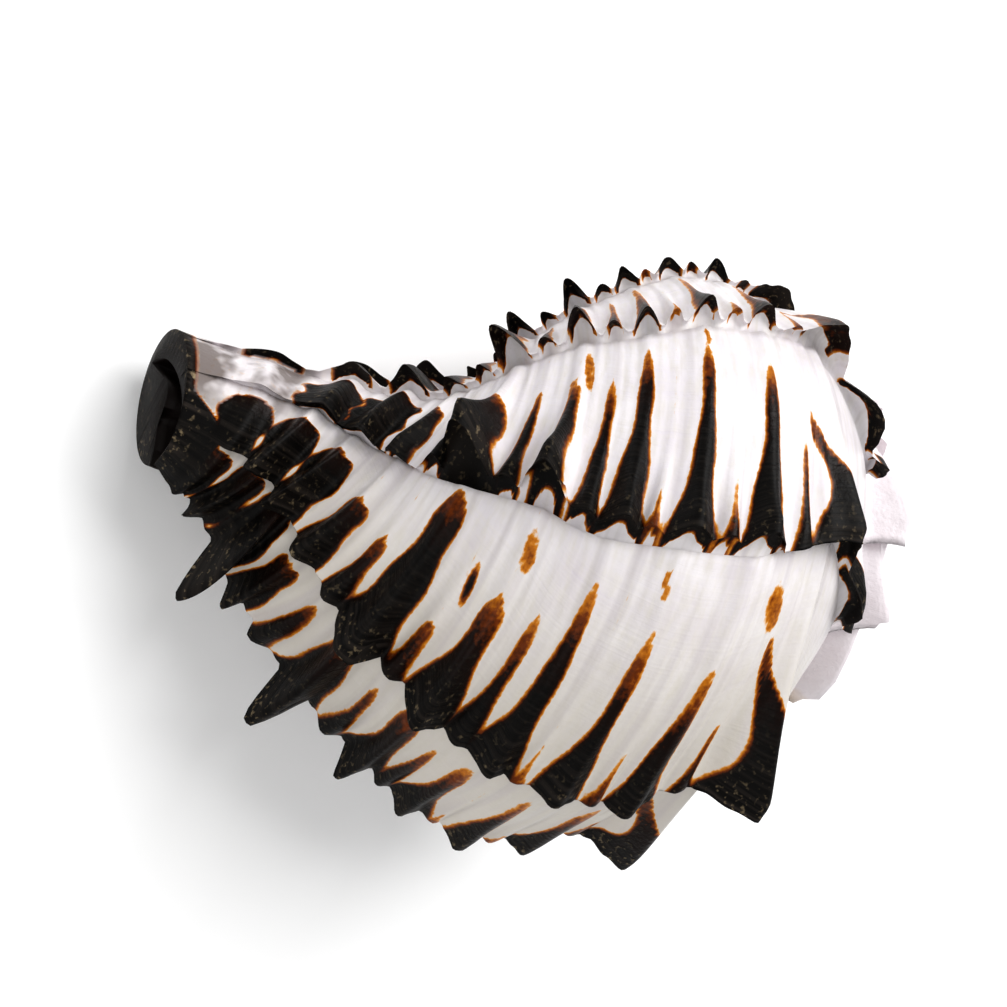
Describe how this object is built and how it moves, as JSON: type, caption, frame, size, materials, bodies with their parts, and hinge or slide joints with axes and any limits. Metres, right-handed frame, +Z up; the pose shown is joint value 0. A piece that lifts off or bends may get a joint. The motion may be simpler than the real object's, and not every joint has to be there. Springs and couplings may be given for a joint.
{
  "type": "murex sea shell",
  "caption": "Spiny coiled murex shell with black-tipped spines on a white body, lying on its open mouth.",
  "frame": {"origin": "middle of the bounding box at the height of the floor the shell lies on", "axes": "+Z up from the floor, +Y towards the spire, -Y towards the open end of the canal, +X and -X across the shell"},
  "size_m": [0.0892, 0.1156, 0.0687],
  "materials": {
    "shell": "porcelain-like shell, glossy white ground with worn matt black spines and amber-edged black stripes"
  },
  "bodies": {
    "root": {"murex_shell": "shell"}
  },
  "joints": []
}
